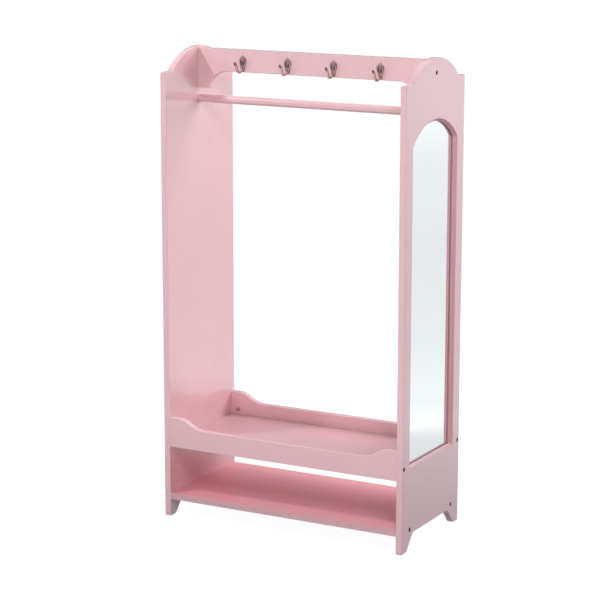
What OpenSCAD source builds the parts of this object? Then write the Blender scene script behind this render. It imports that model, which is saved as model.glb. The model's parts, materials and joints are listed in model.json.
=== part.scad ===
// Children's dress-up rack. Two arched side panels carry a hook rail, a clothes rod,
// an open tray and a low shelf, and a long mirror is let into the right panel.
// X is the width, Y the depth with the front at -Y, and Z is up from the floor.

/* [Overall] */
// Width over the outer faces of the side panels
rack_w = 600; // [520:10:760]
// Depth of the side panels
rack_d = 290; // [280:2:340]
// Height to the top of the arches
rack_h = 1060; // [1040:10:1300]
// Thickness of every board
board_t = 15; // [15:0.5:18]

/* [Side panels] */
// Drop from the top of the arch to the shoulders
arch_rise = 48; // [40:1:56]
// Radius of the arch
arch_r = 161; // [150:1:180]
// Radius of the hollow between arch and shoulder
arch_fillet_r = 5; // [3:0.5:8]
// Height of the gap between the feet
foot_gap_h = 37; // [30:1:38]
// Length of each foot on the floor, before its toe is rounded
foot_sole_l = 24; // [20:1:32]
// Length of the slope from the foot up to the gap
foot_slope_l = 32; // [24:1:40]
// Rounding at both ends of the foot's slope
foot_round_r = 13; // [8:1:16]

/* [Hook rail] */
// Drop from the top of the arch to the top of the rail
rail_drop = 4.5; // [3:0.5:8]
// Height of the rail along its middle
rail_h = 50; // [46:1:56]
// Height of the rail where it meets the panels
rail_end_h = 89; // [84:1:92]
// Flat length under each end of the rail
rail_end_flat = 26; // [22:1:34]
// Radius of the hollow under each end of the rail
rail_hollow_r = 50; // [44:1:56]

/* [Clothes rod] */
// Diameter of the rod
rod_d = 18; // [16:0.5:20]
// Drop from the top of the arch to the middle of the rod
rod_drop = 118; // [114:1:119]
// Depth of the blind socket in each panel
socket_depth = 9; // [7:0.5:10]
// Gap round the rod in its sockets
rod_play = 0.08; // [0.04:0.01:0.1]
// Gap behind each end of the rod
rod_end_play = 0.3; // [0.2:0.05:0.6]
// Width of the chamfer round the mouth of a socket
socket_chamfer = 0.8; // [0.4:0.1:1.2]

/* [Tray] */
// Height of the underside of the tray's front and back boards
tray_z = 164; // [140:1:180]
// Height of those boards along their middle
apron_h = 46; // [42:1:52]
// Height of those boards where they meet the panels
apron_end_h = 68.5; // [64:0.5:76]
// Length of the high part at each end
apron_flat = 34; // [34:1:44]
// Length of the slope from the high part to the middle
apron_slope_l = 34; // [32:1:44]
// Rounding at the top of the slope
apron_top_r = 45; // [30:1:50]
// Rounding at the foot of the slope
apron_foot_r = 70; // [50:1:80]
// Height of the tray floor above the underside of the boards
tray_floor_lift = 1; // [0:0.5:3]

/* [Shelf] */
// Height of the underside of the low shelf
shelf_z = 40; // [39:1:60]
// Distance of the shelf's and the tray's faces behind the panel edges
board_setback = 1; // [0.5:0.5:4]

/* [Mirror] */
// Width of the opening at its lip
mirror_w = 211; // [190:1:212]
// Height of the opening's sill above the floor
mirror_sill_z = 190; // [186:1:230]
// Drop from the top of the arch to the crown of the opening
crown_drop = 135; // [135:1:200]
// Radius of the opening's arched head
mirror_arch_r = 145; // [125:1:170]
// Thickness of the lip in front of the glass
lip_t = 9; // [8:0.5:9]
// Width of the bevel round the outside of the lip
lip_bevel = 5.5; // [3:0.5:6]
// Thickness of the glass
glass_t = 3; // [2:0.5:3]
// Overlap of the glass behind the lip
glass_lap = 2.5; // [2:0.1:3.5]
// Thickness of the backing board
backing_t = 3; // [2.5:0.5:3]
// Overlap of the backing board past the opening's sides
backing_lap = 14.5; // [13:0.1:15]
// Overlap of the backing board above the crown of the opening
backing_top_lap = 5; // [4:0.1:5]
// Overlap of the backing board below the sill
backing_foot_lap = 8; // [6:0.5:8]
// Gap round the glass and round the backing board
pocket_gap = 0.3; // [0.2:0.05:0.5]

/* [Hooks] */
// Distance from one hook to the next
hook_pitch = 113.3; // [100:0.1:118]
// Drop from the top of the rail to the point of a hook's plate
hook_drop = 12.5; // [10:0.5:14]
// Height of the plate
plate_h = 36.5; // [34:0.5:38]
// Radius of the plate's broad head
plate_head_r = 8.75; // [8:0.25:10]
// Height of the point above the middle of the broad head
plate_point_h = 11.5; // [10.5:0.25:13]
// Radius of the plate's narrow foot
plate_foot_r = 3.8; // [3:0.1:4.5]
// Thickness of the plate
plate_t = 3; // [2.5:0.25:4]
// Thickness of the arm along its straight legs
arm_d = 5; // [4:0.25:5.25]
// Thickness of the arm in its bend, which takes the load
arm_bend_d = 5.6; // [5.5:0.1:6.5]
// Distance from the rail's face to the lowest point of the arm
arm_reach = 16.5; // [15:0.5:20]
// Distance from the lowest point of the arm forward to the middle of its tip
arm_lead = 16.5; // [14:0.5:20]
// Radius of the arm's bend
arm_bend_r = 8; // [7:0.5:9]
// Depth of the arm's underside below the plate's foot
arm_dip = 3.5; // [2:0.5:5]
// Slope of the arm behind its bend, in degrees
arm_rear_angle = 30; // [25:1:35]
// Slope of the arm in front of its bend, in degrees
arm_front_angle = 60; // [55:1:68]
// Radius of the ball at the arm's tip
tip_r = 4; // [3.5:0.25:5]

/* [Fasteners] */
// Diameter of the bolt shanks
bolt_d = 6; // [5:0.5:6]
// Length of the bolts under the head
bolt_l = 35; // [34:0.5:38]
// Diameter of the bolt heads
bolt_head_d = 10; // [9:0.5:11]
// Height of the bolt heads
bolt_head_h = 5.5; // [4.5:0.5:6]
// Width across the flats of the bolt's hexagon socket
hex_w = 4; // [3:0.5:5]
// Depth of that socket
hex_depth = 3; // [2:0.5:4]
// Depth of the counterbores for the bolt heads
counterbore_depth = 6; // [6:0.5:7]
// Distance of the barrel nuts inside the panels
nut_inset = 19.5; // [18:0.5:22]
// Diameter of the barrel nuts
nut_d = 10; // [9:0.5:12]
// Length of the barrel nuts
nut_l = 12; // [11:0.5:13]
// Depth of the barrel nuts below the face of their board
nut_recess = 0.3; // [0.2:0.1:0.6]
// Width of the slot in the end of a barrel nut
nut_slot_w = 1.5; // [1:0.25:2]
// Depth of that slot
nut_slot_depth = 1.5; // [1:0.25:2]
// Drop from the top of the arch to the rail's bolts
rail_bolt_drop = 32; // [28:1:36]
// Height of the tray's bolts above the underside of its boards
tray_bolt_lift = 26; // [22:1:30]
// Distance of the shelf's bolts from the middle of the shelf
shelf_bolt_y = 106; // [90:1:110]
// Diameter of the dowels between boards and panels
dowel_d = 8; // [6:0.5:8]
// Length of the dowels
dowel_l = 30; // [24:1:34]
// Length of a dowel that sits in the panel
dowel_seat = 9; // [8:0.5:10]
// Chamfer at both ends of the dowels
dowel_chamfer = 1; // [0.5:0.25:1.5]
// Distance from a rail bolt down to its dowel
rail_dowel_drop = 38; // [30:1:44]
// Distance from a tray bolt up to its dowel
tray_dowel_lift = 25; // [22:0.5:30]
// Distance between the dowels along the tray floor
tray_dowel_pitch = 190; // [150:5:200]
// Diameter of the wood screws
screw_d = 3; // [2.5:0.25:3.5]
// Diameter of the screw heads
screw_head_d = 5.5; // [5:0.25:6.5]
// Width of the cross slots in the screw heads
cross_w = 0.8; // [0.5:0.1:1]
// Length of the screws in the board behind what they hold
screw_bite = 7; // [6:0.5:8]
// Distance between a hook's two screws
hook_screw_pitch = 13; // [12:0.5:14]
// Screws along each side of the mirror's backing board
mirror_screws_a_side = 4; // [3:1:6]
// Distance of the outer ones from the ends of the backing board
mirror_screw_margin = 36; // [20:1:60]
// Gap round bolts, nuts, dowels and screws in their holes
fastener_gap = 0.15; // [0.1:0.05:0.3]

/* [Hidden] */
$fn = 48;

// Degrees between points along a rounded corner
arc_step = 5;
// Extra length of a cut past the face that it opens
past = 1;

pink = [0.92, 0.74, 0.77];
steel = [0.35, 0.33, 0.34];
zinc = [0.78, 0.78, 0.8];
pewter = [0.5, 0.45, 0.43];
beech = [0.85, 0.7, 0.5];
fibreboard = [0.72, 0.6, 0.45];
silver = [0.88, 0.91, 0.92];

outer_x = rack_w / 2;
inner_x = outer_x - board_t;
edge_y = rack_d / 2;
shoulder_z = rack_h - arch_rise;

rail_top_z = rack_h - rail_drop;
rail_under_z = rail_top_z - rail_h;
rail_end_z = rail_top_z - rail_end_h;
rail_face_y = -board_t / 2;

rod_z = rack_h - rod_drop;
rod_l = 2 * (inner_x + socket_depth - rod_end_play);

board_y = edge_y - board_setback;
apron_y = board_y - board_t / 2;
tray_inner_y = board_y - board_t;
tray_floor_z = tray_z + tray_floor_lift;

glass_x = outer_x - lip_t;
backing_x = glass_x - glass_t;
crown_z = rack_h - crown_drop;
mirror_h = crown_z - mirror_sill_z;
glass_w = mirror_w + 2 * glass_lap;
glass_z = mirror_sill_z - glass_lap;
glass_h = mirror_h + 2 * glass_lap;
backing_w = mirror_w + 2 * backing_lap;
backing_z = mirror_sill_z - backing_foot_lap;
backing_h = mirror_h + backing_foot_lap + backing_top_lap;
mirror_screw_y = (glass_w + backing_w) / 4;
mirror_screw_pitch = (backing_h - 2 * mirror_screw_margin) / (mirror_screws_a_side - 1);
mirror_screw_zs = [for (i = [0:mirror_screws_a_side - 1])
    backing_z + mirror_screw_margin + i * mirror_screw_pitch];

plate_point_z = rail_top_z - hook_drop;
plate_head_z = plate_point_z - plate_point_h;
plate_foot_z = plate_point_z - plate_h + plate_foot_r;
hook_xs = [for (i = [-1.5:1.5]) i * hook_pitch];
hook_screw_zs = [plate_head_z + screw_d / 2, plate_head_z + screw_d / 2 - hook_screw_pitch];
bend_z = plate_foot_z - plate_foot_r - arm_dip + arm_bend_d / 2 + arm_bend_r;

nut_x = inner_x - nut_inset;
head_seat_x = outer_x - counterbore_depth;
bolt_tip_x = head_seat_x - bolt_l;
screw_head_h = (screw_head_d - screw_d) / 2;

// Turns that point a barrel nut's slotted end down, to the back and to the front
down = 0;
to_back = 90;
to_front = -90;
rail_bolt_z = rack_h - rail_bolt_drop;
tray_bolt_z = tray_z + tray_bolt_lift;
shelf_mid_z = shelf_z + board_t / 2;

// Bolts as [y, z, turn of the nut], and dowels as [y, z], the same at both ends of a board
rail_bolts = [[0, rail_bolt_z, to_back]];
front_bolts = [[-apron_y, tray_bolt_z, to_back]];
back_bolts = [[apron_y, tray_bolt_z, to_front]];
shelf_bolts = [for (side = [-1, 1]) [side * shelf_bolt_y, shelf_mid_z, down]];
all_bolts = concat(rail_bolts, front_bolts, back_bolts, shelf_bolts);
rail_dowels = [[0, rail_bolt_z - rail_dowel_drop]];
front_dowels = [[-apron_y, tray_bolt_z + tray_dowel_lift]];
back_dowels = [[apron_y, tray_bolt_z + tray_dowel_lift]];
shelf_dowels = [[0, shelf_mid_z]];
all_dowels = concat(rail_dowels, front_dowels, back_dowels, shelf_dowels);

// Outline whose corners [x, y, radius] are rounded by arcs
function unit(v) = v / norm(v);
function flat(p) = [p.x, p.y];
function arc_points(centre, r, start, sweep) =
    let (steps = ceil(abs(sweep) / arc_step))
    [for (i = [0:steps]) centre + r * [cos(start + sweep * i / steps),
                                       sin(start + sweep * i / steps)]];
function corner(before, at, after) =
    let (u = unit(flat(before) - flat(at)),
         w = unit(flat(after) - flat(at)),
         half = acos(u * w) / 2,
         turn = sign(u.x * w.y - u.y * w.x),
         centre = flat(at) + unit(u + w) * at.z / sin(half),
         first = flat(at) + u * at.z / tan(half) - centre)
    arc_points(centre, at.z, atan2(first.y, first.x), -turn * (180 - 2 * half));
function rounded(corners) =
    let (n = len(corners))
    [for (i = [0:n - 1])
        each (corners[i].z == 0 ? [flat(corners[i])]
            : corner(corners[(i + n - 1) % n], corners[i], corners[(i + 1) % n]))];

// What lies at +X, and its like at -X
module both_ends() {
    children();
    mirror([1, 0, 0]) children();
}

// Outline in Y and Z, made t thick from x towards +X
module plate_yz(x, t) {
    translate([x, 0, 0]) rotate([90, 0, 90]) linear_extrude(t) children();
}

// Outline in X and Z, made t thick from y towards +Y
module plate_xz(y, t) {
    translate([0, y + t, 0]) rotate([90, 0, 0]) linear_extrude(t) children();
}

// Cylinder along X from one x to another
module bar_x(from, to, r) {
    translate([from, 0, 0]) rotate([0, 90, 0]) cylinder(h = to - from, r = r);
}

module arch_outline() {
    centre_z = rack_h - arch_r;
    fillet_z = shoulder_z + arch_fillet_r;
    reach = arch_r + arch_fillet_r;
    fillet_y = sqrt(pow(reach, 2) - pow(fillet_z - centre_z, 2));
    touch = [fillet_y, fillet_z - centre_z] * arch_r / reach + [0, centre_z];
    intersection() {
        translate([0, centre_z]) circle(arch_r, $fn = 180);
        translate([-edge_y, shoulder_z]) square([rack_d, arch_rise]);
    }
    for (side = [0, 1]) mirror([side, 0]) difference() {
        polygon([[0, shoulder_z], [fillet_y, shoulder_z], [touch.x, touch.y], [0, touch.y]]);
        translate([fillet_y, fillet_z]) circle(arch_fillet_r);
    }
}

module foot_gap_outline() {
    toe_y = edge_y - foot_sole_l;
    heel_y = toe_y - foot_slope_l;
    below = -foot_round_r;
    polygon(rounded([[-toe_y, below, 0], [-edge_y + past, below, 0], [-edge_y + past, 0, 0],
                     [-toe_y, 0, foot_round_r], [-heel_y, foot_gap_h, foot_round_r],
                     [heel_y, foot_gap_h, foot_round_r], [toe_y, 0, foot_round_r],
                     [edge_y - past, 0, 0], [edge_y - past, below, 0], [toe_y, below, 0]]));
}

module panel_outline() {
    difference() {
        translate([-edge_y, 0]) square([rack_d, shoulder_z]);
        foot_gap_outline();
    }
    arch_outline();
}

// Holes of the right-hand panel for bolts, dowels and the rod
module panel_holes() {
    for (b = all_bolts) translate([0, b.x, b.y]) {
        bar_x(inner_x - past, outer_x, bolt_d / 2 + fastener_gap);
        bar_x(head_seat_x, outer_x + past, bolt_head_d / 2 + fastener_gap);
    }
    for (d = all_dowels) translate([0, d.x, d.y])
        bar_x(inner_x - past, inner_x + dowel_seat + fastener_gap, dowel_d / 2 + fastener_gap);
    translate([0, 0, rod_z]) {
        bar_x(inner_x - past, inner_x + socket_depth, rod_d / 2 + rod_play);
        translate([inner_x, 0, 0]) rotate([0, 90, 0])
            cylinder(h = socket_chamfer, r1 = rod_d / 2 + rod_play + socket_chamfer,
                     r2 = rod_d / 2 + rod_play);
    }
}

module plain_panel() {
    difference() {
        plate_yz(inner_x, board_t) panel_outline();
        panel_holes();
    }
}

// Bevelled hole through the lip: half-widths grow along the bevel by the same step everywhere
module lip_opening() {
    bevel_x = outer_x - lip_bevel;
    half = mirror_w / 2;
    head_z = crown_z - mirror_arch_r;
    grown = lip_bevel + past;
    intersection() {
        translate([0, 0, glass_z]) linear_extrude(glass_h + 2 * grown)
            polygon([[glass_x - past, -half], [bevel_x, -half], [bevel_x + grown, -half - grown],
                     [bevel_x + grown, half + grown], [bevel_x, half], [glass_x - past, half]]);
        plate_xz(-edge_y, rack_d)
            polygon([[glass_x - past, mirror_sill_z], [bevel_x, mirror_sill_z],
                     [bevel_x + grown, mirror_sill_z - grown], [bevel_x + grown, rack_h],
                     [glass_x - past, rack_h]]);
        union() {
            translate([glass_x - past, -edge_y, 0])
                cube([bevel_x + grown - glass_x + past, rack_d, head_z]);
            translate([0, 0, head_z]) {
                bar_x(glass_x - past, bevel_x, mirror_arch_r);
                translate([bevel_x, 0, 0]) rotate([0, 90, 0])
                    cylinder(h = grown, r1 = mirror_arch_r, r2 = mirror_arch_r + grown);
            }
        }
    }
}

// Pocket for a sheet of width w and height h that stands on z, from the inner face to x
module pocket(x, z, w, h) {
    translate([inner_x - past, -w / 2 - pocket_gap, z - pocket_gap])
        cube([x - inner_x + past, w + 2 * pocket_gap, h + 2 * pocket_gap]);
}

// Places of the screws that hold the backing board, with their heads towards -X
module at_mirror_screws() {
    for (side = [-1, 1], z = mirror_screw_zs)
        translate([backing_x - backing_t, side * mirror_screw_y, z]) rotate([0, 90, 0]) children();
}

// Places of the screws that hold the hooks, with their heads towards -Y
module at_hook_screws() {
    for (x = hook_xs, z = hook_screw_zs)
        translate([x, rail_face_y - plate_t, z]) rotate([-90, 0, 0]) children();
}

// Countersunk screw along +Z with its head's face at 0, through t and grown by gap
module wood_screw(t, gap) {
    cylinder(h = screw_head_h, r1 = screw_head_d / 2 + gap, r2 = screw_d / 2 + gap);
    cylinder(h = t + screw_bite + gap, r = screw_d / 2 + gap);
}

module screw_with_cross(t) {
    difference() {
        wood_screw(t, 0);
        for (turn = [0, 90]) rotate([0, 0, turn])
            translate([-screw_d / 2, -cross_w / 2, -past])
                cube([screw_d, cross_w, past + screw_head_h]);
    }
}

// Holes in the right-hand end of a board for its bolts, their nuts and its dowels
module end_holes(bolts, dowels) {
    for (b = bolts) {
        translate([0, b.x, b.y])
            bar_x(bolt_tip_x - fastener_gap, inner_x + past, bolt_d / 2 + fastener_gap);
        at_nut(b) translate([0, 0, -nut_recess - past])
            cylinder(h = nut_l + nut_recess + past + fastener_gap, r = nut_d / 2 + fastener_gap);
    }
    for (d = dowels) translate([0, d.x, d.y])
        bar_x(inner_x - dowel_l + dowel_seat - fastener_gap, inner_x + past,
              dowel_d / 2 + fastener_gap);
}

// Place of a barrel nut: Z runs into the board from the nut's slotted end
module at_nut(b) {
    translate([nut_x, b.x, b.y]) rotate([b.z, 0, 0])
        translate([0, 0, nut_recess - board_t / 2]) children();
}

// Places of the dowels that join the tray floor to the tray's front and back boards
module at_tray_dowels() {
    for (side = [0, 1], i = [-1:1])
        mirror([0, side, 0]) translate([i * tray_dowel_pitch, tray_inner_y + dowel_seat,
                                        tray_floor_z + board_t / 2])
            rotate([90, 0, 0]) children();
}

module tray_dowel_holes() {
    at_tray_dowels() translate([0, 0, -fastener_gap])
        cylinder(h = dowel_l + 2 * fastener_gap, r = dowel_d / 2 + fastener_gap);
}

module dowel() {
    tip_r = dowel_d / 2 - dowel_chamfer;
    cylinder(h = dowel_chamfer, r1 = tip_r, r2 = dowel_d / 2);
    translate([0, 0, dowel_chamfer]) cylinder(h = dowel_l - 2 * dowel_chamfer, r = dowel_d / 2);
    translate([0, 0, dowel_l - dowel_chamfer])
        cylinder(h = dowel_chamfer, r1 = dowel_d / 2, r2 = tip_r);
}

module apron_outline() {
    top_z = tray_z + apron_end_h;
    mid_z = tray_z + apron_h;
    high_x = inner_x - apron_flat;
    low_x = high_x - apron_slope_l;
    polygon(rounded([[-inner_x, tray_z, 0], [inner_x, tray_z, 0], [inner_x, top_z, 0],
                     [high_x, top_z, apron_top_r], [low_x, mid_z, apron_foot_r],
                     [-low_x, mid_z, apron_foot_r], [-high_x, top_z, apron_top_r],
                     [-inner_x, top_z, 0]]));
}

module rail_outline() {
    hollow_x = inner_x - rail_end_flat
        - sqrt(pow(rail_hollow_r, 2) - pow(rail_end_z - rail_under_z + rail_hollow_r, 2));
    difference() {
        translate([-inner_x, rail_end_z]) square([2 * inner_x, rail_end_h]);
        for (side = [-1, 1]) translate([side * hollow_x, rail_under_z - rail_hollow_r])
            circle(rail_hollow_r, $fn = 120);
        translate([-hollow_x, rail_under_z - rail_hollow_r]) square([2 * hollow_x, rail_hollow_r]);
    }
}

// Round plate outline with a point at the top and a narrow foot
module hook_plate_outline() {
    to_point = acos(plate_head_r / plate_point_h);
    to_foot = asin((plate_head_r - plate_foot_r) / (plate_head_z - plate_foot_z));
    translate([0, plate_head_z]) circle(plate_head_r);
    translate([0, plate_foot_z]) circle(plate_foot_r);
    for (side = [0, 1]) mirror([side, 0])
        polygon([[0, plate_point_z],
                 [plate_head_r * sin(to_point), plate_head_z + plate_head_r * cos(to_point)],
                 [0, plate_head_z],
                 [plate_head_r * cos(to_foot), plate_head_z - plate_head_r * sin(to_foot)],
                 [plate_foot_r * cos(to_foot), plate_foot_z - plate_foot_r * sin(to_foot)],
                 [0, plate_foot_z]]);
}

// Arm of a hook, drawn with x forward from the rail's face and y up. Its straight legs
// run a little way into the thicker bend.
module hook_arm() {
    rear = [arm_reach, bend_z] + arm_bend_r * [-sin(arm_rear_angle), -cos(arm_rear_angle)];
    front = [arm_reach, bend_z] + arm_bend_r * [sin(arm_front_angle), -cos(arm_front_angle)];
    rear_l = (rear.x - plate_t / 2) / cos(arm_rear_angle);
    front_l = (arm_reach + arm_lead - front.x) / cos(arm_front_angle);
    tip = front + front_l * [cos(arm_front_angle), sin(arm_front_angle)];
    translate([arm_reach, bend_z, 0]) rotate([0, 0, -90 - arm_rear_angle])
        rotate_extrude(angle = arm_rear_angle + arm_front_angle) translate([arm_bend_r, 0])
            circle(arm_bend_d / 2);
    translate([rear.x, rear.y, 0]) rotate([0, -90, -arm_rear_angle])
        translate([0, 0, -past]) cylinder(h = rear_l + past, r = arm_d / 2);
    translate([front.x, front.y, 0]) rotate([0, 90, arm_front_angle])
        translate([0, 0, -past]) cylinder(h = front_l + past, r = arm_d / 2);
    translate([tip.x, tip.y, 0]) sphere(tip_r);
}

module coat_hook(x) {
    color(pewter) difference() {
        union() {
            translate([x, 0, 0]) plate_xz(rail_face_y - plate_t, plate_t) hook_plate_outline();
            translate([x, rail_face_y, 0]) rotate([90, 0, -90]) hook_arm();
        }
        at_hook_screws() wood_screw(plate_t, fastener_gap);
    }
}

module left_side_panel() {
    color(pink) mirror([1, 0, 0]) plain_panel();
}

module right_side_panel() {
    color(pink) difference() {
        plain_panel();
        pocket(glass_x, glass_z, glass_w, glass_h);
        pocket(backing_x, backing_z, backing_w, backing_h);
        lip_opening();
        at_mirror_screws() wood_screw(backing_t, fastener_gap);
    }
}

module mirror_glass() {
    color(silver) translate([backing_x, -glass_w / 2, glass_z])
        cube([glass_t, glass_w, glass_h]);
}

module mirror_backing_board() {
    color(fibreboard) difference() {
        translate([backing_x - backing_t, -backing_w / 2, backing_z])
            cube([backing_t, backing_w, backing_h]);
        at_mirror_screws() wood_screw(backing_t, fastener_gap);
    }
}

module mirror_screws() {
    color(zinc) at_mirror_screws() screw_with_cross(backing_t);
}

module hook_rail() {
    color(pink) difference() {
        plate_xz(rail_face_y, board_t) rail_outline();
        both_ends() end_holes(rail_bolts, rail_dowels);
        at_hook_screws() wood_screw(plate_t, fastener_gap);
    }
}

module clothes_rod() {
    color(pink) translate([0, 0, rod_z]) bar_x(-rod_l / 2, rod_l / 2, rod_d / 2);
}

module tray_front_board() {
    color(pink) difference() {
        plate_xz(-board_y, board_t) apron_outline();
        both_ends() end_holes(front_bolts, front_dowels);
        tray_dowel_holes();
    }
}

module tray_back_board() {
    color(pink) difference() {
        plate_xz(tray_inner_y, board_t) apron_outline();
        both_ends() end_holes(back_bolts, back_dowels);
        tray_dowel_holes();
    }
}

module tray_floor() {
    color(pink) difference() {
        translate([-inner_x, -tray_inner_y, tray_floor_z])
            cube([2 * inner_x, 2 * tray_inner_y, board_t]);
        tray_dowel_holes();
    }
}

module bottom_shelf() {
    color(pink) difference() {
        translate([-inner_x, -board_y, shelf_z]) cube([2 * inner_x, 2 * board_y, board_t]);
        both_ends() end_holes(shelf_bolts, shelf_dowels);
    }
}

module hook_screws() {
    color(pewter) at_hook_screws() screw_with_cross(plate_t);
}

module connector_bolts() {
    color(steel) both_ends() for (b = all_bolts) translate([0, b.x, b.y]) difference() {
        union() {
            bar_x(bolt_tip_x, head_seat_x, bolt_d / 2);
            bar_x(head_seat_x, head_seat_x + bolt_head_h, bolt_head_d / 2);
        }
        translate([head_seat_x + bolt_head_h - hex_depth, 0, 0]) rotate([0, 90, 0])
            cylinder(h = hex_depth + past, d = hex_w / cos(30), $fn = 6);
    }
}

module barrel_nuts() {
    color(zinc) both_ends() for (b = all_bolts) difference() {
        at_nut(b) difference() {
            cylinder(h = nut_l, r = nut_d / 2);
            translate([-nut_d, -nut_slot_w / 2, -past])
                cube([2 * nut_d, nut_slot_w, nut_slot_depth + past]);
        }
        translate([0, b.x, b.y]) bar_x(nut_x - nut_d, nut_x + nut_d, bolt_d / 2 + fastener_gap);
    }
}

module panel_dowels() {
    color(beech) both_ends() for (d = all_dowels)
        translate([inner_x + dowel_seat - dowel_l, d.x, d.y]) rotate([0, 90, 0]) dowel();
}

module tray_dowels() {
    color(beech) at_tray_dowels() dowel();
}

left_side_panel();
right_side_panel();
mirror_glass();
mirror_backing_board();
mirror_screws();
hook_rail();
clothes_rod();
tray_front_board();
tray_back_board();
tray_floor();
bottom_shelf();
coat_hook(hook_xs[0]);  // coat_hook_1
coat_hook(hook_xs[1]);  // coat_hook_2
coat_hook(hook_xs[2]);  // coat_hook_3
coat_hook(hook_xs[3]);  // coat_hook_4
hook_screws();
connector_bolts();
barrel_nuts();
panel_dowels();
tray_dowels();
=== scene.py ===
import json
import math

import bmesh
import bpy
from mathutils import Matrix, Vector

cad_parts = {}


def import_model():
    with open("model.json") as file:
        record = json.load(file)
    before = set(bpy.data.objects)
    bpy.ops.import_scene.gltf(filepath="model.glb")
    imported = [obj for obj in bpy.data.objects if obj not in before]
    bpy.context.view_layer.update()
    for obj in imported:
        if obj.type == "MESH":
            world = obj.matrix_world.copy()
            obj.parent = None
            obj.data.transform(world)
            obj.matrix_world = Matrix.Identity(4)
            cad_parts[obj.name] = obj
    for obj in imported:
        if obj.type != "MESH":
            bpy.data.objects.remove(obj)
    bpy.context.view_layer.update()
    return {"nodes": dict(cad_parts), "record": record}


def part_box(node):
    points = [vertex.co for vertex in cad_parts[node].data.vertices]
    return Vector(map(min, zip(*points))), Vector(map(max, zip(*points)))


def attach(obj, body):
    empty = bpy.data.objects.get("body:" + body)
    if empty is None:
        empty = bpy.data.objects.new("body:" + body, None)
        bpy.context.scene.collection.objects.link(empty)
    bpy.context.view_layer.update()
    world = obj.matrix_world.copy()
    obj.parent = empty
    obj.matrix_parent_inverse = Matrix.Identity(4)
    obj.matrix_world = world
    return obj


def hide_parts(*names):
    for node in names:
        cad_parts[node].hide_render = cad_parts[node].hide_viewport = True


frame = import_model()
MM = 0.001

# ---------------------------------------------------------------- sizes

# Boards, metal and glass, in metres
BOARD_EASE = 1.8 * MM       # rounding along the free edges of a board
OPENING_EASE = 0.6 * MM     # rounding round the mirror's opening
JOINT_EASE = 0.35 * MM      # rounding where a board meets another
HOLE_EASE = 0.25 * MM       # rounding round a bolt or nut hole
SOCKET_EASE = 1 * MM        # rounding round the rod's sockets
METAL_EASE = 0.25 * MM      # rounding on bolts, nuts and screws
GLASS_EASE = 0.2 * MM       # ground edge of the mirror glass
SILVER_DEPTH = 2 * MM       # how far behind the glass's face the silvering seems to lie
HOLE_SIZE = 40 * MM         # a ring of edges smaller than this is a hole's rim
SOCKET_SIZE = 24 * MM       # and a hole's rim larger than this is a socket's
MARGIN = 15 * MM            # the mirror's opening ends within this of the glass
OUTLINE_SHARE = 0.97        # a ring longer than this share of its board is its outline
ON_PLANE = 0.1 * MM         # a point this near to a plane lies on it
WELD = 0.001 * MM           # points of a CAD mesh this near are one point
FLAT = math.radians(0.5)    # faces that meet at less than this are one flat face
SHARP = math.radians(40)    # edges that turn more than this are rounded

# Base colours, each from its deepest to its palest
LACQUER_DEEP = (0.76, 0.45, 0.495)
LACQUER_PALE = (0.78, 0.47, 0.515)
# Painted bounce light: a redder, brighter pink than the lacquer, for the shelf's top and
# underside and the tray floor's underside
PAINTED_BOUNCE_DEEP = (0.87, 0.39, 0.435)
PAINTED_BOUNCE_PALE = (0.89, 0.405, 0.45)
# Painted shade: a darker pink than the lacquer, for the tray floor's top and edges and the
# shelf's edges
PAINTED_SHADE_DEEP = (0.65, 0.38, 0.425)
PAINTED_SHADE_PALE = (0.67, 0.395, 0.44)
# Painted light: a brighter, redder pink than the lacquer, for the matte cut faces round the
# mirror's opening and on the rail
EDGE_PAINTED_LIGHT_DEEP = (0.88, 0.475, 0.515)
EDGE_PAINTED_LIGHT_PALE = (0.90, 0.49, 0.53)
SILVER_DEEP = (0.89, 0.935, 0.96)
SILVER_PALE = (0.91, 0.955, 0.98)
# the pale colour is abraded plating, and down a hook's arm a painted highlight
PEWTER_DEEP = (0.095, 0.043, 0.038)
PEWTER_PALE = (0.95, 0.67, 0.625)
BEECH_DEEP = (0.42, 0.25, 0.13)
BEECH_PALE = (0.68, 0.47, 0.28)
FIBRE_DEEP = (0.16, 0.085, 0.04)
FIBRE_PALE = (0.34, 0.20, 0.10)
STEEL_DEEP = (0.05, 0.04, 0.045)
STEEL_PALE = (0.12, 0.10, 0.11)
ZINC_DEEP = (0.45, 0.45, 0.47)
ZINC_PALE = (0.68, 0.68, 0.70)

WALL_WHITE = 0.4            # how white gloss sees the studio's wall, near the horizon
WALL_TOP = 0.26             # sine of the elevation where it starts to brighten
CEILING = 0.77              # sine of the elevation where it is white
FLOOR_SIZE = 40
FLOOR_REACH = 8             # metres of floor over which its brightness in gloss varies
FLOOR_PAINTED_GLOSS = (              # metres from the middle of the rack, and that brightness: painted shade near the rack, a painted bright band at about 1.1 m
    (0.35, 0.50), (0.96, 0.71), (1.12, 0.97), (1.35, 0.86), (2.2, 0.78), (3.6, 0.80),
    (5.6, 0.87), (8, 1))

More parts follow.
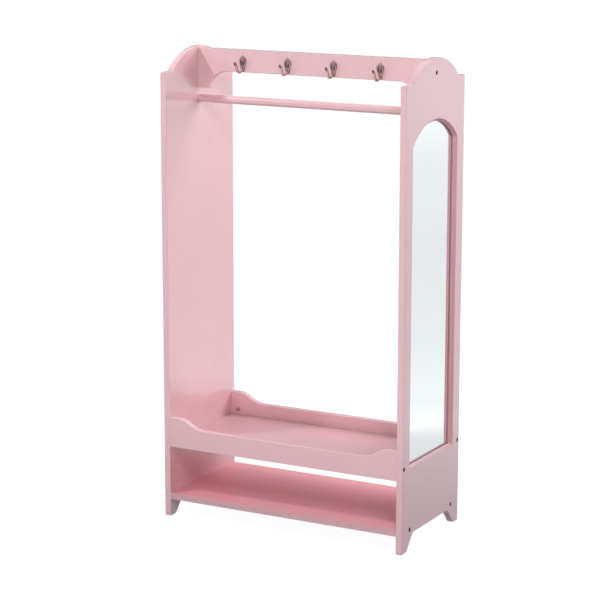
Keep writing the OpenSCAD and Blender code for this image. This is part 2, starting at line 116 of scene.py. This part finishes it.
# Coat hook, in millimetres. "Down" is below the plate's point, "out" is out from the rail.
HEAD_DOWN = 11.5            # middle of the plate's round head
HEAD_R = 8.75
FOOT_DOWN = 32.7            # middle of its round foot
FOOT_R = 3.8
BEAD_H = 3.0                # height of the raised border over the rail
BEAD_W = 1.7
BEAD_SLOPE = 1.6            # width of the slope from the border down to the hollow
DISH_H = 1.7                # height of the hollow inside the border
SPINE_H = 2.5               # height of the ridge down the middle
SPINE_HALF = (0.4, 2.2)     # half width of that ridge, at its top and at its foot
BOSS_R = 3.3                # round lands that take the screw heads
BOSS_SLOPE = 0.9            # width of the slope round each land
LIP_R = 0.9                 # rounding of the plate's outer edge
PLATE_WEAR = (0.12, 0.90)   # share of plating rubbed off, in the hollow and on the border
INSETS = (0, 0.1, 0.35, 0.9, 1.3, 1.7, 2.1, 2.6, 3.3, 4.1, 5.0, 6.0, 7.2)
INSET_SHARE = 0.96          # no ring goes further than this share of the way to the middle
SCREWS_DOWN = (10, 23)
COUNTERSINK = ((2.95, 3.3), (2.95, 3.0), (1.6, 1.65), (1.6, -0.5))   # (radius, out)
COUNTERSINK_SIDES = 40
ARM_ROOT = (1.0, 29.0)      # (out, down)
ARM_BEND = (16.5, 29.2)     # middle of the arm's bend, (out, down)
ARM_BEND_R = 8
ARM_TURN = (30, 62)         # degrees of the bend behind and in front of its lowest point
ARM_TIP = (36.0, 10.4)      # (out, down)
ARM_WIDTH = 6.4
ARM_THICK = 3.4
ARM_SIDES = 20
SECTION = (0.7, 0.8)        # powers that square up the arm's round section, across and through
ARM_PAINTED_SHEEN = (0.2, 0.95)      # paleness of the plating at its edges and along its middle: painted shade at the edges, a painted highlight down the middle
ROOT_SHARE = 0.12           # share of its length over which it is wider, at the plate
ROOT_WIDER = 0.8            # and by how much on each side
TIP_WIDTH = 8.6
TIP_HOLLOW = 0.9            # depth of the hollow in the leaf tip
LEAF_SHARES = (0.70, 0.88)  # shares of the arm's length where the leaf begins and is full
LEAF_THINNER = 0.25         # how much thinner the leaf is, on each face
LEAF_WEAR = (0.9, -0.05)    # share of plating rubbed off, at its edges and along its middle
POINT_SHARE = 0.86          # share of the arm's length where the leaf starts to round off
END_HALF = 0.3              # half width left at its very end
END_SHARE = 0.25            # share of the thickness left there

# ---------------------------------------------------------------- materials


def shade(name):
    """A new node material. Returns it with its shader, the place on the object, a helper that
    adds a linked node, and its links."""
    material = bpy.data.materials.new(name)
    material.use_nodes = True
    nodes, links = material.node_tree.nodes, material.node_tree.links
    shader = nodes["Principled BSDF"]
    place = nodes.new("ShaderNodeTexCoord").outputs["Object"]

    def add(kind, settings=None, **inputs):
        node = nodes.new(kind)
        for key, value in (settings or {}).items():
            setattr(node, key, value)
        for key, value in inputs.items():
            socket = node.inputs[key.replace("_", " ")]
            if isinstance(value, bpy.types.NodeSocket):
                links.new(value, socket)
            else:
                socket.default_value = value
        return node

    return material, shader, place, add, links


def noise(add, place, scale, detail=3.0, roughness=0.55):
    """Soft noise with about scale waves to a metre."""
    return add("ShaderNodeTexNoise", Vector=place, Scale=scale, Detail=detail,
               Roughness=roughness).outputs["Fac"]


def spread(add, value, low, high):
    """value, which runs over about 0.3 to 0.7, mapped to low..high."""
    return add("ShaderNodeMapRange", Value=value, From_Min=0.3, From_Max=0.7,
               To_Min=low, To_Max=high).outputs["Result"]


def tint(add, links, factor, dark, light):
    """A colour between dark and light, where factor runs from 0 to 1. The Mix node's colours
    are its inputs 6 and 7 and its output 2."""
    mix = add("ShaderNodeMix", {"data_type": "RGBA"})
    links.new(factor, mix.inputs[0])
    mix.inputs[6].default_value = (*dark, 1)
    mix.inputs[7].default_value = (*light, 1)
    return mix.outputs[2]


def bands(add, value, stops):
    """A brightness that passes smoothly through stops of (value, brightness), for 0 to 1."""
    ramp = add("ShaderNodeValToRGB", Fac=value)
    ramp.color_ramp.interpolation = "EASE"
    elements = ramp.color_ramp.elements
    elements.remove(elements[1])
    for i, (position, level) in enumerate(stops):
        element = elements.new(position) if i else elements[0]
        element.position = position
        element.color = (level, level, level, 1)
    return ramp.outputs["Color"]


def lacquer(name, deep, pale, ior, coat, rough):
    """Sprayed pink lacquer on fibreboard: glossy, with a fine orange peel and soft waves."""
    material, shader, place, add, links = shade(name)
    cloud = noise(add, place, 9, detail=4)
    links.new(tint(add, links, spread(add, cloud, 0, 1), deep, pale),
              shader.inputs["Base Color"])
    shader.inputs["IOR"].default_value = ior
    shader.inputs["Coat Weight"].default_value = coat
    shader.inputs["Coat IOR"].default_value = ior
    shader.inputs["Coat Roughness"].default_value = 0.09
    links.new(spread(add, noise(add, place, 60), *rough), shader.inputs["Roughness"])
    peel = add("ShaderNodeBump", Strength=0.03, Distance=0.0003, Height=noise(add, place, 700))
    wave = add("ShaderNodeBump", Strength=0.03, Distance=0.003,
               Height=noise(add, place, 14, detail=1), Normal=peel.outputs["Normal"])
    links.new(wave.outputs["Normal"], shader.inputs["Normal"])
    links.new(wave.outputs["Normal"], shader.inputs["Coat Normal"])
    return material


def mirror_silver():
    """Silvered glass: a faint cool tint and the least haze of dust."""
    material, shader, place, add, links = shade("mirror_silver")
    shader.inputs["Metallic"].default_value = 1
    links.new(tint(add, links, spread(add, noise(add, place, 6), 0, 1),
                   SILVER_DEEP, SILVER_PALE), shader.inputs["Base Color"])
    links.new(spread(add, noise(add, place, 35), 0.01, 0.03), shader.inputs["Roughness"])
    return material


def pewter(name, evenly=None):
    """Antique plating: dark in the hollows and paler where it stands proud and its plating is
    abraded, as the mesh says, with a painted highlight down a hook's arm and painted shade at
    the arm's edges, which the mesh also gives; or abraded evenly all over."""
    material, shader, place, add, links = shade(name)
    shader.inputs["Metallic"].default_value = 1
    blotch = spread(add, noise(add, place, 420, detail=5), -0.22, 0.22)
    pale_mix = add("ShaderNodeMath", {"operation": "ADD", "use_clamp": True})
    if evenly is None:
        # the mesh's paleness: abraded plating, and on a hook's arm a painted highlight and
        # painted shade
        rubbed = add("ShaderNodeAttribute", {"attribute_name": "rubbed"})
        links.new(rubbed.outputs["Fac"], pale_mix.inputs[0])
    else:
        pale_mix.inputs[0].default_value = evenly
    links.new(blotch, pale_mix.inputs[1])
    links.new(tint(add, links, pale_mix.outputs[0], PEWTER_DEEP, PEWTER_PALE),
              shader.inputs["Base Color"])
    links.new(spread(add, noise(add, place, 500), 0.18, 0.26), shader.inputs["Roughness"])
    cast = add("ShaderNodeBump", Strength=0.2, Distance=0.0003, Height=noise(add, place, 1400))
    links.new(cast.outputs["Normal"], shader.inputs["Normal"])
    return material


def plated_steel(name, dark, light):
    """Plated steel with the fine marks of turning and handling."""
    material, shader, place, add, links = shade(name)
    shader.inputs["Metallic"].default_value = 1
    links.new(tint(add, links, spread(add, noise(add, place, 400), 0, 1), dark, light),
              shader.inputs["Base Color"])
    links.new(spread(add, noise(add, place, 900), 0.3, 0.4), shader.inputs["Roughness"])
    turned = add("ShaderNodeBump", Strength=0.15, Distance=0.0002,
                 Height=noise(add, place, 2500))
    links.new(turned.outputs["Normal"], shader.inputs["Normal"])
    return material


def beech():
    """Bare beech: straight pale grain with short dark flecks."""
    material, shader, place, add, links = shade("beech")
    along = add("ShaderNodeMapping", Vector=place, Scale=(30, 700, 700)).outputs["Vector"]
    grain = noise(add, along, 1, detail=5)
    links.new(tint(add, links, spread(add, grain, 0, 1), BEECH_DEEP, BEECH_PALE),
              shader.inputs["Base Color"])
    shader.inputs["Roughness"].default_value = 0.6
    fibre = add("ShaderNodeBump", Strength=0.3, Distance=0.0003, Height=grain)
    links.new(fibre.outputs["Normal"], shader.inputs["Normal"])
    return material


def hardboard():
    """Bare hardboard: pressed brown fibres with a mottled, slightly waxy face."""
    material, shader, place, add, links = shade("raw_fibreboard")
    fibres = noise(add, place, 420, detail=6, roughness=0.7)
    links.new(tint(add, links, spread(add, fibres, 0, 1), FIBRE_DEEP, FIBRE_PALE),
              shader.inputs["Base Color"])
    links.new(spread(add, noise(add, place, 90), 0.5, 0.75), shader.inputs["Roughness"])
    pressed = add("ShaderNodeBump", Strength=0.4, Distance=0.0004, Height=fibres)
    links.new(pressed.outputs["Normal"], shader.inputs["Normal"])
    return material


LACQUER = lacquer("pink_lacquer", LACQUER_DEEP, LACQUER_PALE,
                  ior=1.75, coat=1, rough=(0.29, 0.35))
MATERIALS = {
    "pink_lacquer": LACQUER,
    "raw_fibreboard": hardboard(),
    "mirror_silver": mirror_silver(),
    "antique_pewter": pewter("antique_pewter", evenly=0.4),
    "dark_steel": plated_steel("dark_steel", STEEL_DEEP, STEEL_PALE),
    "zinc_plate": plated_steel("zinc_plate", ZINC_DEEP, ZINC_PALE),
    "beech": beech(),
}
# A rougher, duller copy of the lacquer whose redder, brighter pink is painted bounce light
PAINTED_BOUNCE = lacquer("pink_lacquer_painted_bounce", PAINTED_BOUNCE_DEEP, PAINTED_BOUNCE_PALE,
                ior=1.35, coat=0.5, rough=(0.38, 0.48))
# A darker copy of the lacquer, in painted shade
PAINTED_SHADE = lacquer("pink_lacquer_painted_shade", PAINTED_SHADE_DEEP, PAINTED_SHADE_PALE,
               ior=1.45, coat=0.7, rough=(0.34, 0.44))
# A matte copy of the lacquer for cut faces, whose brighter, redder pink is painted bounce
# light
CUT_EDGE_PAINTED_LIGHT = lacquer("pink_lacquer_edge_painted_light", EDGE_PAINTED_LIGHT_DEEP, EDGE_PAINTED_LIGHT_PALE,
                   ior=1.3, coat=0, rough=(0.42, 0.5))
CAST = pewter("antique_pewter_cast")
SLOTS = {part["node"]: part["material_slot"] for part in frame["record"]["subparts"]}

# ---------------------------------------------------------------- pieces


def stand_for(mesh, node, *materials):
    """Shows the mesh as a smooth piece in the node's place, with its finish and body."""
    for face in mesh.polygons:
        face.use_smooth = True
    for material in materials or [MATERIALS[SLOTS[node]]]:
        mesh.materials.append(material)
    piece = bpy.data.objects.new(mesh.name, mesh)
    bpy.context.collection.objects.link(piece)
    bodies = frame["record"]["behaviour"]["bodies"]
    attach(piece, next(body for body, nodes in bodies.items() if node in nodes))
    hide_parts(node)
    return piece


def node_copy(node):
    """A working copy of a CAD node's mesh, welded and with its flat faces whole."""
    bm = bmesh.new()
    bm.from_mesh(frame["nodes"][node].data)
    bmesh.ops.remove_doubles(bm, verts=bm.verts, dist=WELD)
    bmesh.ops.dissolve_limit(bm, angle_limit=FLAT, verts=bm.verts, edges=bm.edges)
    return bm


def as_mesh(bm, name):
    """Turns the working copy into a mesh."""
    mesh = bpy.data.meshes.new(name)
    bm.to_mesh(mesh)
    bm.free()
    return mesh


def even_out(piece, keep_sharp=False, weight=100):
    """Shades large flat faces as flat, right up to the rounding between them."""
    flats = piece.modifiers.new("flats", "WEIGHTED_NORMAL")
    flats.keep_sharp = keep_sharp
    flats.weight = weight


def break_edges(piece, width):
    """Rounds every sharp edge by the same width."""
    bevel = piece.modifiers.new("ease", "BEVEL")
    bevel.limit_method = "ANGLE"
    bevel.angle_limit = SHARP
    bevel.width = width
    bevel.segments = 2


def edge_rings(edges):
    """The edges in groups that hang together by their corners."""
    left, rings = set(edges), []
    while left:
        ring, reach = [], [left.pop()]
        while reach:
            edge = reach.pop()
            ring.append(edge)
            joined = {other for vert in edge.verts for other in vert.link_edges} & left
            left -= joined
            reach.extend(joined)
        rings.append(ring)
    return rings


def spread_of(ring):
    """Length of the diagonal of the box round a ring of edges."""
    points = [vert.co for edge in ring for vert in edge.verts]
    return Vector([max(p[i] for p in points) - min(p[i] for p in points)
                   for i in range(3)]).length


def ring_ease(ring, board_length, outline, hole):
    """How much to round a ring of edges: a hole's rim, a socket's, the board's outline or the
    edge of another opening."""
    length = spread_of(ring)
    if length <= SOCKET_SIZE:
        return hole
    if length < HOLE_SIZE:
        return SOCKET_EASE
    if length > board_length * OUTLINE_SHARE:
        return outline
    return OPENING_EASE


def cut_across(lo, hi, axis):
    """Picks the faces inside the box lo to hi that run along axis, through a board, but not
    those that face up."""
    def pick(face):
        spot = face.calc_center_median()
        inside = all(lo[i] < spot[i] < hi[i] for i in range(3))
        return inside and abs(face.normal[axis]) < 0.9 and face.normal.z < 0.5
    return pick


def underneath(face):
    return face.normal.z < -0.9


def upright(face):
    return abs(face.normal.z) < 0.5


def eased(node, outline, hole=HOLE_EASE, joint_x=None, finishes=(), pick=None):
    """A copy of a CAD board with rounded edges: outline is the rounding of its own edges, and
    JOINT_EASE is used at its ends, where it meets the panels at joint_x. The faces that pick
    chooses get the second of its finishes."""
    bm = node_copy(node)
    weight = bm.edges.layers.float.new("bevel_weight_edge")
    widest = max(outline, OPENING_EASE)
    lo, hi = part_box(node)
    sharp = [e for e in bm.edges if len(e.link_faces) == 2 and e.calc_face_angle() > SHARP]
    for ring in edge_rings(sharp):
        width = ring_ease(ring, (hi - lo).length, outline, hole)
        for edge in ring:
            at_joint = joint_x and all(
                abs(abs(vert.co.x) - joint_x) < ON_PLANE for vert in edge.verts)
            edge[weight] = (JOINT_EASE if at_joint else width) / widest
    if pick:
        for face in bm.faces:
            face.material_index = pick(face)
    piece = stand_for(as_mesh(bm, node + "_eased"), node, *finishes)
    bevel = piece.modifiers.new("ease", "BEVEL")
    bevel.limit_method = "WEIGHT"
    bevel.width = widest
    bevel.segments = 3
    bevel.use_clamp_overlap = False
    even_out(piece, keep_sharp=True)


def eased_metal(node):
    """A copy of a metal CAD node, or of its several solids, with every edge just broken."""
    piece = stand_for(as_mesh(node_copy(node), node + "_eased"), node)
    break_edges(piece, METAL_EASE)
    even_out(piece)


def silvered(node):
    """The mirror glass with its reflecting face set back, as far as silvering behind the
    glass seems to lie."""
    bm = node_copy(node)
    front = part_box(node)[1].x
    for vert in bm.verts:
        if front - vert.co.x < ON_PLANE:
            vert.co.x = front - SILVER_DEPTH
    piece = stand_for(as_mesh(bm, node + "_silvered"), node)
    break_edges(piece, GLASS_EASE)
    even_out(piece)


# ---------------------------------------------------------------- coat hooks


def step(low, high, value):
    """0 below low, 1 above high and a smooth rise between them."""
    t = min(max((value - low) / (high - low), 0), 1)
    return t * t * (3 - 2 * t)


def part_way(pair, t):
    """The value at share t of the way from the first to the second of a pair."""
    return pair[0] + (pair[1] - pair[0]) * t


def between(near, far, t):
    """The point at share t of the way from near to far."""
    return tuple(part_way(pair, t) for pair in zip(near, far))


def skin(bm, rings, rubbed):
    """Joins rings of (point, paleness) into one closed surface, and keeps each point's
    paleness.
    """
    rows = []
    for ring in rings:
        row = []
        for point, paleness in ring:
            vert = bm.verts.new(point)
            vert[rubbed] = paleness
            row.append(vert)
        rows.append(row)
    for near, far in zip(rows, rows[1:]):
        for i in range(len(near)):
            j = (i + 1) % len(near)
            bm.faces.new((near[i], near[j], far[j], far[i]))
    bm.faces.new(list(reversed(rows[0])))
    bm.faces.new(rows[-1])


def arc(middle_z, radius, start, end, steps):
    """Points (x, z) on a circle about (0, middle_z), by angles from straight up."""
    angles = [start + (end - start) * i / steps for i in range(steps + 1)]
    return [(radius * math.sin(a), middle_z + radius * math.cos(a)) for a in angles]


def plate_outline(top, head_z, foot_z):
    """Points round the plate, (x, z): a pointed top, a round head and a narrow round foot."""
    flank = math.pi / 2 + math.asin((HEAD_R - FOOT_R) / (head_z - foot_z))
    head = arc(head_z, HEAD_R, math.acos(HEAD_R / (top - head_z)), flank, 16)
    foot = arc(foot_z, FOOT_R, flank, math.pi, 8)
    side = [between((0, top), head[0], i / 7) for i in range(7)] + head
    side += [between(head[-1], foot[0], i / 8) for i in range(1, 8)] + foot
    return side + [(-x, z) for x, z in reversed(side[1:-1])]


def plate_height(x, z, inset, screws):
    """Height of the plate's face over the rail, inset from its border, in millimetres."""
    bead = step(BEAD_W + BEAD_SLOPE, BEAD_W, inset)
    spine = step(SPINE_HALF[1], SPINE_HALF[0], abs(x))
    boss = max(step(BOSS_R + BOSS_SLOPE, BOSS_R, math.hypot(x, z - s)) for s in screws)
    high = max(bead * (BEAD_H - DISH_H), spine * (SPINE_H - DISH_H),
               boss * (BEAD_H - DISH_H))
    from_lip = LIP_R - min(inset, LIP_R)
    return DISH_H + high - (LIP_R - math.sqrt(LIP_R ** 2 - from_lip ** 2))


def hook_plate(bm, rubbed, x0, face_y, top, screws):
    """The dished plate: its border rises from the rail, and its face is worked in rings."""
    head_z, foot_z = top - HEAD_DOWN, top - FOOT_DOWN
    outline = plate_outline(top, head_z, foot_z)
    rings = [[((x0 + x * MM, face_y, z * MM), 0) for x, z in outline]]
    for inset in INSETS:
        ring = []
        for x, z in outline:
            core = Vector((0, min(max(z, foot_z), head_z)))
            reach = Vector((x, z)) - core
            inward = min(inset, reach.length * INSET_SHARE)
            spot = core + reach * (1 - inward / reach.length)
            high = plate_height(spot.x, spot.y, inward, screws)
            proud = step(DISH_H + 0.2, BEAD_H - 0.2, high)
            paleness = part_way(PLATE_WEAR, proud) * step(-0.3, LIP_R, inward)
            ring.append(((x0 + spot.x * MM, face_y - high * MM, spot.y * MM), paleness))
        rings.append(ring)
    skin(bm, rings, rubbed)


def arm_line(top):
    """Points along the arm, (out, up): down from the plate, round the bend, up to the tip."""
    root, bend, tip = ((out, top - down) for out, down in (ARM_ROOT, ARM_BEND, ARM_TIP))
    behind, ahead = (math.radians(a) for a in ARM_TURN)
    angles = [-behind + (behind + ahead) * i / 14 for i in range(15)]
    turn = [(bend[0] + ARM_BEND_R * math.sin(a), bend[1] - ARM_BEND_R * math.cos(a))
            for a in angles]
    fall = [between(root, turn[0], i / 6) for i in range(6)]
    rise = [between(turn[-1], tip, i / 16) for i in range(1, 17)]
    return fall + turn + rise


def arm_section(share):
    """Half width and half thickness of the arm at a share of its length, and how far it has
    become the leaf tip, from 0 to 1."""
    flare = step(*LEAF_SHARES, share)
    point = math.sqrt(max(1 - step(POINT_SHARE, 1, share) ** 2, 0))
    root = step(ROOT_SHARE, 0, share)
    wide = (ARM_WIDTH / 2 + (TIP_WIDTH - ARM_WIDTH) / 2 * flare + ROOT_WIDER * root) * point
    thick = (ARM_THICK / 2 - LEAF_THINNER * flare) * max(point, END_SHARE)
    return max(wide, END_HALF), thick, flare * point


def hook_arm(bm, rubbed, x0, face_y, line):
    """The blade arm, swept along its line, with a hollow in the face of its leaf tip."""
    lengths = [0]
    for a, b in zip(line, line[1:]):
        lengths.append(lengths[-1] + math.dist(a, b))
    rings = []
    for i, (out, up) in enumerate(line):
        before, after = line[max(i - 1, 0)], line[min(i + 1, len(line) - 1)]
        along = Vector((after[0] - before[0], after[1] - before[1])).normalized()
        wide, thick, leaf = arm_section(lengths[i] / lengths[-1])
        ring = []
        for k in range(ARM_SIDES):
            a = 2 * math.pi * k / ARM_SIDES
            across = wide * math.copysign(abs(math.cos(a)) ** SECTION[0], math.cos(a))
            lift = thick * math.copysign(abs(math.sin(a)) ** SECTION[1], math.sin(a))
            middle = max(0, 1 - (across / wide) ** 2)
            if lift < 0:
                lift += TIP_HOLLOW * leaf * middle
            spot = (out - lift * along.y, up + lift * along.x)
            # on the arm the paleness is painted: a painted highlight down its middle, painted
            # shade at its edges; on the leaf tip it is abraded plating, dark in its hollow
            paleness = (1 - leaf) * part_way(ARM_PAINTED_SHEEN, middle) + leaf * part_way(LEAF_WEAR, middle)
            ring.append(((x0 + across * MM, face_y - spot[0] * MM, spot[1] * MM), paleness))
        rings.append(ring)
    skin(bm, rings, rubbed)


def countersinks(x0, face_y, screws):
    """Cutters for the screw holes of a hook's plate: a cone that runs into a shank."""
    bm = bmesh.new()
    angles = [2 * math.pi * k / COUNTERSINK_SIDES for k in range(COUNTERSINK_SIDES)]
    for z in screws:
        rows = []
        for r, out in COUNTERSINK:
            y = face_y - out * MM
            circle = [(x0 + r * math.cos(a) * MM, y, (z + r * math.sin(a)) * MM)
                      for a in angles]
            rows.append([bm.verts.new(point) for point in circle])
        for near, far in zip(rows, rows[1:]):
            for i in range(COUNTERSINK_SIDES):
                j = (i + 1) % COUNTERSINK_SIDES
                bm.faces.new((near[i], near[j], far[j], far[i]))
        bm.faces.new(rows[0])
        bm.faces.new(rows[-1])
    bmesh.ops.recalc_face_normals(bm, faces=bm.faces)
    return bpy.data.objects.new("countersinks", as_mesh(bm, "countersinks"))


def carved(mesh, cutter):
    """The mesh with the cutter taken out of it."""
    body = bpy.data.objects.new(mesh.name, mesh)
    for thing in (body, cutter):
        bpy.context.collection.objects.link(thing)
    cut = body.modifiers.new("cut", "BOOLEAN")
    cut.operation = "DIFFERENCE"
    cut.solver = "EXACT"
    cut.use_self = True
    cut.object = cutter
    bpy.context.view_layer.update()
    done = body.evaluated_get(bpy.context.evaluated_depsgraph_get())
    result = bpy.data.meshes.new_from_object(done)
    for thing in (body, cutter):
        bpy.data.objects.remove(thing)
    result.name = mesh.name + "_drilled"
    return result


def coat_hook(node):
    """A cast hook: a dished, pointed plate with two screw lands and a blade arm."""
    lo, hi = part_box(node)
    x0, face_y, top = (lo.x + hi.x) / 2, hi.y, hi.z / MM
    screws = [top - down for down in SCREWS_DOWN]
    bm = bmesh.new()
    rubbed = bm.verts.layers.float.new("rubbed")
    hook_plate(bm, rubbed, x0, face_y, top, screws)
    hook_arm(bm, rubbed, x0, face_y, arm_line(top))
    bmesh.ops.recalc_face_normals(bm, faces=bm.faces)
    cast = as_mesh(bm, node + "_cast")
    piece = stand_for(carved(cast, countersinks(x0, face_y, screws)), node, CAST)
    even_out(piece, keep_sharp=True, weight=50)


glass_lo, glass_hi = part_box("mirror_glass")
rail_lo, rail_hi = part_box("hook_rail")
panel_inner_x = rail_hi.x
margin = Vector((1, 1, 1)) * MARGIN
eased("left_side_panel", BOARD_EASE)
# the cut faces round the mirror's opening in painted light
eased("right_side_panel", BOARD_EASE, finishes=(LACQUER, CUT_EDGE_PAINTED_LIGHT),
      pick=cut_across(glass_lo - margin, glass_hi + margin, 0))
for node in ("tray_front_board", "tray_back_board"):
    eased(node, BOARD_EASE, joint_x=panel_inner_x)
# the shelf's top and underside in painted bounce light, its edges in painted shade
eased("bottom_shelf", BOARD_EASE, joint_x=panel_inner_x, finishes=(PAINTED_BOUNCE, PAINTED_SHADE), pick=upright)
# the rail's cut faces in painted light
eased("hook_rail", BOARD_EASE, hole=0, joint_x=panel_inner_x, finishes=(LACQUER, CUT_EDGE_PAINTED_LIGHT),
      pick=cut_across(rail_lo - margin, rail_hi + margin, 1))
# the tray floor's top and edges in painted shade, its underside in painted bounce light
eased("tray_floor", JOINT_EASE, finishes=(PAINTED_SHADE, PAINTED_BOUNCE), pick=underneath)
silvered("mirror_glass")
for node in ("connector_bolts", "barrel_nuts"):
    eased_metal(node)
for node in ("coat_hook_1", "coat_hook_2", "coat_hook_3", "coat_hook_4"):
    coat_hook(node)

for node, cad in frame["nodes"].items():
    if not cad.hide_render:
        cad.data.materials.clear()
        cad.data.materials.append(MATERIALS[SLOTS[node]])

# ---------------------------------------------------------------- stage, light and camera


def floor(glow, grey):
    """A floor that keeps soft shadows. It glows only where it is seen: white to the camera,
    and to gloss in uneven bands, painted shade near the rack and a painted bright band about a
    metre off, which the mirror and the lacquer show as painted reflections. It lights nothing."""
    bpy.ops.mesh.primitive_plane_add(size=FLOOR_SIZE)
    plane = bpy.context.object
    plane.name = "floor"
    material, shader, place, add, links = shade("floor_white")
    shader.inputs["Base Color"].default_value = (grey, grey, grey, 1)
    shader.inputs["Roughness"].default_value = 0.9
    shader.inputs["Emission Color"].default_value = (1, 1, 1, 1)
    path = add("ShaderNodeLightPath")
    away = add("ShaderNodeVectorMath", {"operation": "LENGTH"}, Vector=place).outputs["Value"]
    share = add("ShaderNodeMapRange", Value=away, From_Max=FLOOR_REACH).outputs["Result"]
    stops = [(distance / FLOOR_REACH, level) for distance, level in FLOOR_PAINTED_GLOSS]
    # the floor as gloss sees it: painted shade near the rack, a painted bright band about a
    # metre off
    seen = bands(add, share, stops)
    gleam = add("ShaderNodeMath", {"operation": "MULTIPLY"})
    links.new(path.outputs["Is Glossy Ray"], gleam.inputs[0])
    links.new(seen, gleam.inputs[1])
    total = add("ShaderNodeMath", {"operation": "MULTIPLY_ADD"})
    links.new(path.outputs["Is Camera Ray"], total.inputs[0])
    total.inputs[1].default_value = glow
    links.new(gleam.outputs[0], total.inputs[2])
    links.new(total.outputs[0], shader.inputs["Emission Strength"])
    plane.data.materials.append(material)


def world(strength):
    """White where the camera sees it. Gloss sees a dim wall near the horizon that brightens
    overhead, and a little of strength falls on the object from all round."""
    sky = bpy.data.worlds.new("studio")
    sky.use_nodes = True
    nodes, links = sky.node_tree.nodes, sky.node_tree.links
    path = nodes.new("ShaderNodeLightPath")
    split = nodes.new("ShaderNodeSeparateXYZ")
    links.new(nodes.new("ShaderNodeTexCoord").outputs["Generated"], split.inputs["Vector"])
    overhead = nodes.new("ShaderNodeMapRange")
    overhead.interpolation_type = "SMOOTHSTEP"
    links.new(split.outputs["Z"], overhead.inputs["Value"])
    for key, value in (("From Min", WALL_TOP), ("From Max", CEILING), ("To Min", WALL_WHITE)):
        overhead.inputs[key].default_value = value
    lit, seen = nodes.new("ShaderNodeMix"), nodes.new("ShaderNodeMix")
    lit.name = "lit"
    lit.inputs["A"].default_value = strength
    seen.inputs["B"].default_value = 1
    links.new(path.outputs["Is Glossy Ray"], lit.inputs["Factor"])
    links.new(overhead.outputs["Result"], lit.inputs["B"])
    links.new(path.outputs["Is Camera Ray"], seen.inputs["Factor"])
    links.new(lit.outputs["Result"], seen.inputs["A"])
    links.new(seen.outputs["Result"], nodes["Background"].inputs["Strength"])
    nodes["Background"].inputs["Color"].default_value = (1, 1, 1, 1)
    bpy.context.scene.world = sky


def softbox(name, place, aim, size, power, gleam=False):
    """A square lamp that lights the object, or one that only gleams in its gloss."""
    lamp = bpy.data.lights.new(name, "AREA")
    lamp.shape = "SQUARE"
    lamp.size = size
    lamp.energy = power
    holder = bpy.data.objects.new(name, lamp)
    holder.location = place
    holder.visible_camera = False
    holder.visible_diffuse = not gleam
    holder.visible_glossy = gleam
    holder.rotation_mode = "QUATERNION"
    holder.rotation_quaternion = (Vector(aim) - Vector(place)).to_track_quat("-Z", "Y")
    bpy.context.collection.objects.link(holder)


def camera(place, azimuth, drop, roll, focal):
    """Looks along +Y at azimuth 0. azimuth turns it towards -X, drop tilts it down and roll
    turns it about its own axis, in degrees."""
    lens = bpy.data.cameras.new("camera")
    lens.sensor_width = 36
    lens.lens = focal
    lens.clip_end = 100
    holder = bpy.data.objects.new("camera", lens)
    turn = (Matrix.Rotation(math.radians(azimuth), 4, "Z")
            @ Matrix.Rotation(math.radians(90 - drop), 4, "X")
            @ Matrix.Rotation(math.radians(roll), 4, "Z"))
    holder.matrix_world = Matrix.Translation(place) @ turn
    bpy.context.collection.objects.link(holder)
    bpy.context.scene.camera = holder


floor(glow=0.97, grey=0.06)
world(strength=0.03)
softbox("key", (-1.2, -1.1, 2.2), (-0.1, 0, 0.9), size=0.14, power=21.5)
softbox("key_gleam", (-1.2, -1.1, 2.2), (-0.1, 0, 0.9), size=0.3, power=2, gleam=True)
softbox("back_right", (3.0, 3.0, 2.4), (0, 0, 0.8), size=2.8, power=42)
softbox("back_right_near", (1.8, 1.8, 1.8), (0, 0, 0.8), size=1.4, power=42)
softbox("back", (0.3, 1.0, 2.4), (-0.2, 0, 0.8), size=0.9, power=17.5)
softbox("back_low", (-0.4, 2.2, 0.45), (-0.1, 0, 0.1), size=0.6, power=20.5)
softbox("front_right", (1.7, -1.9, 2.2), (0, 0, 0.8), size=0.9, power=35)
softbox("front_low", (0.2, -1.9, 0.25), (0, 0, 0.15), size=0.7, power=17)
softbox("left", (-3.4, 0.3, 2.2), (0, 0, 0.8), size=2.6, power=65)
camera((2.2168, -4.1272, 1.496), azimuth=28.552, drop=11.933, roll=0.079, focal=128.815)
bpy.context.scene.view_settings.view_transform = "Standard"
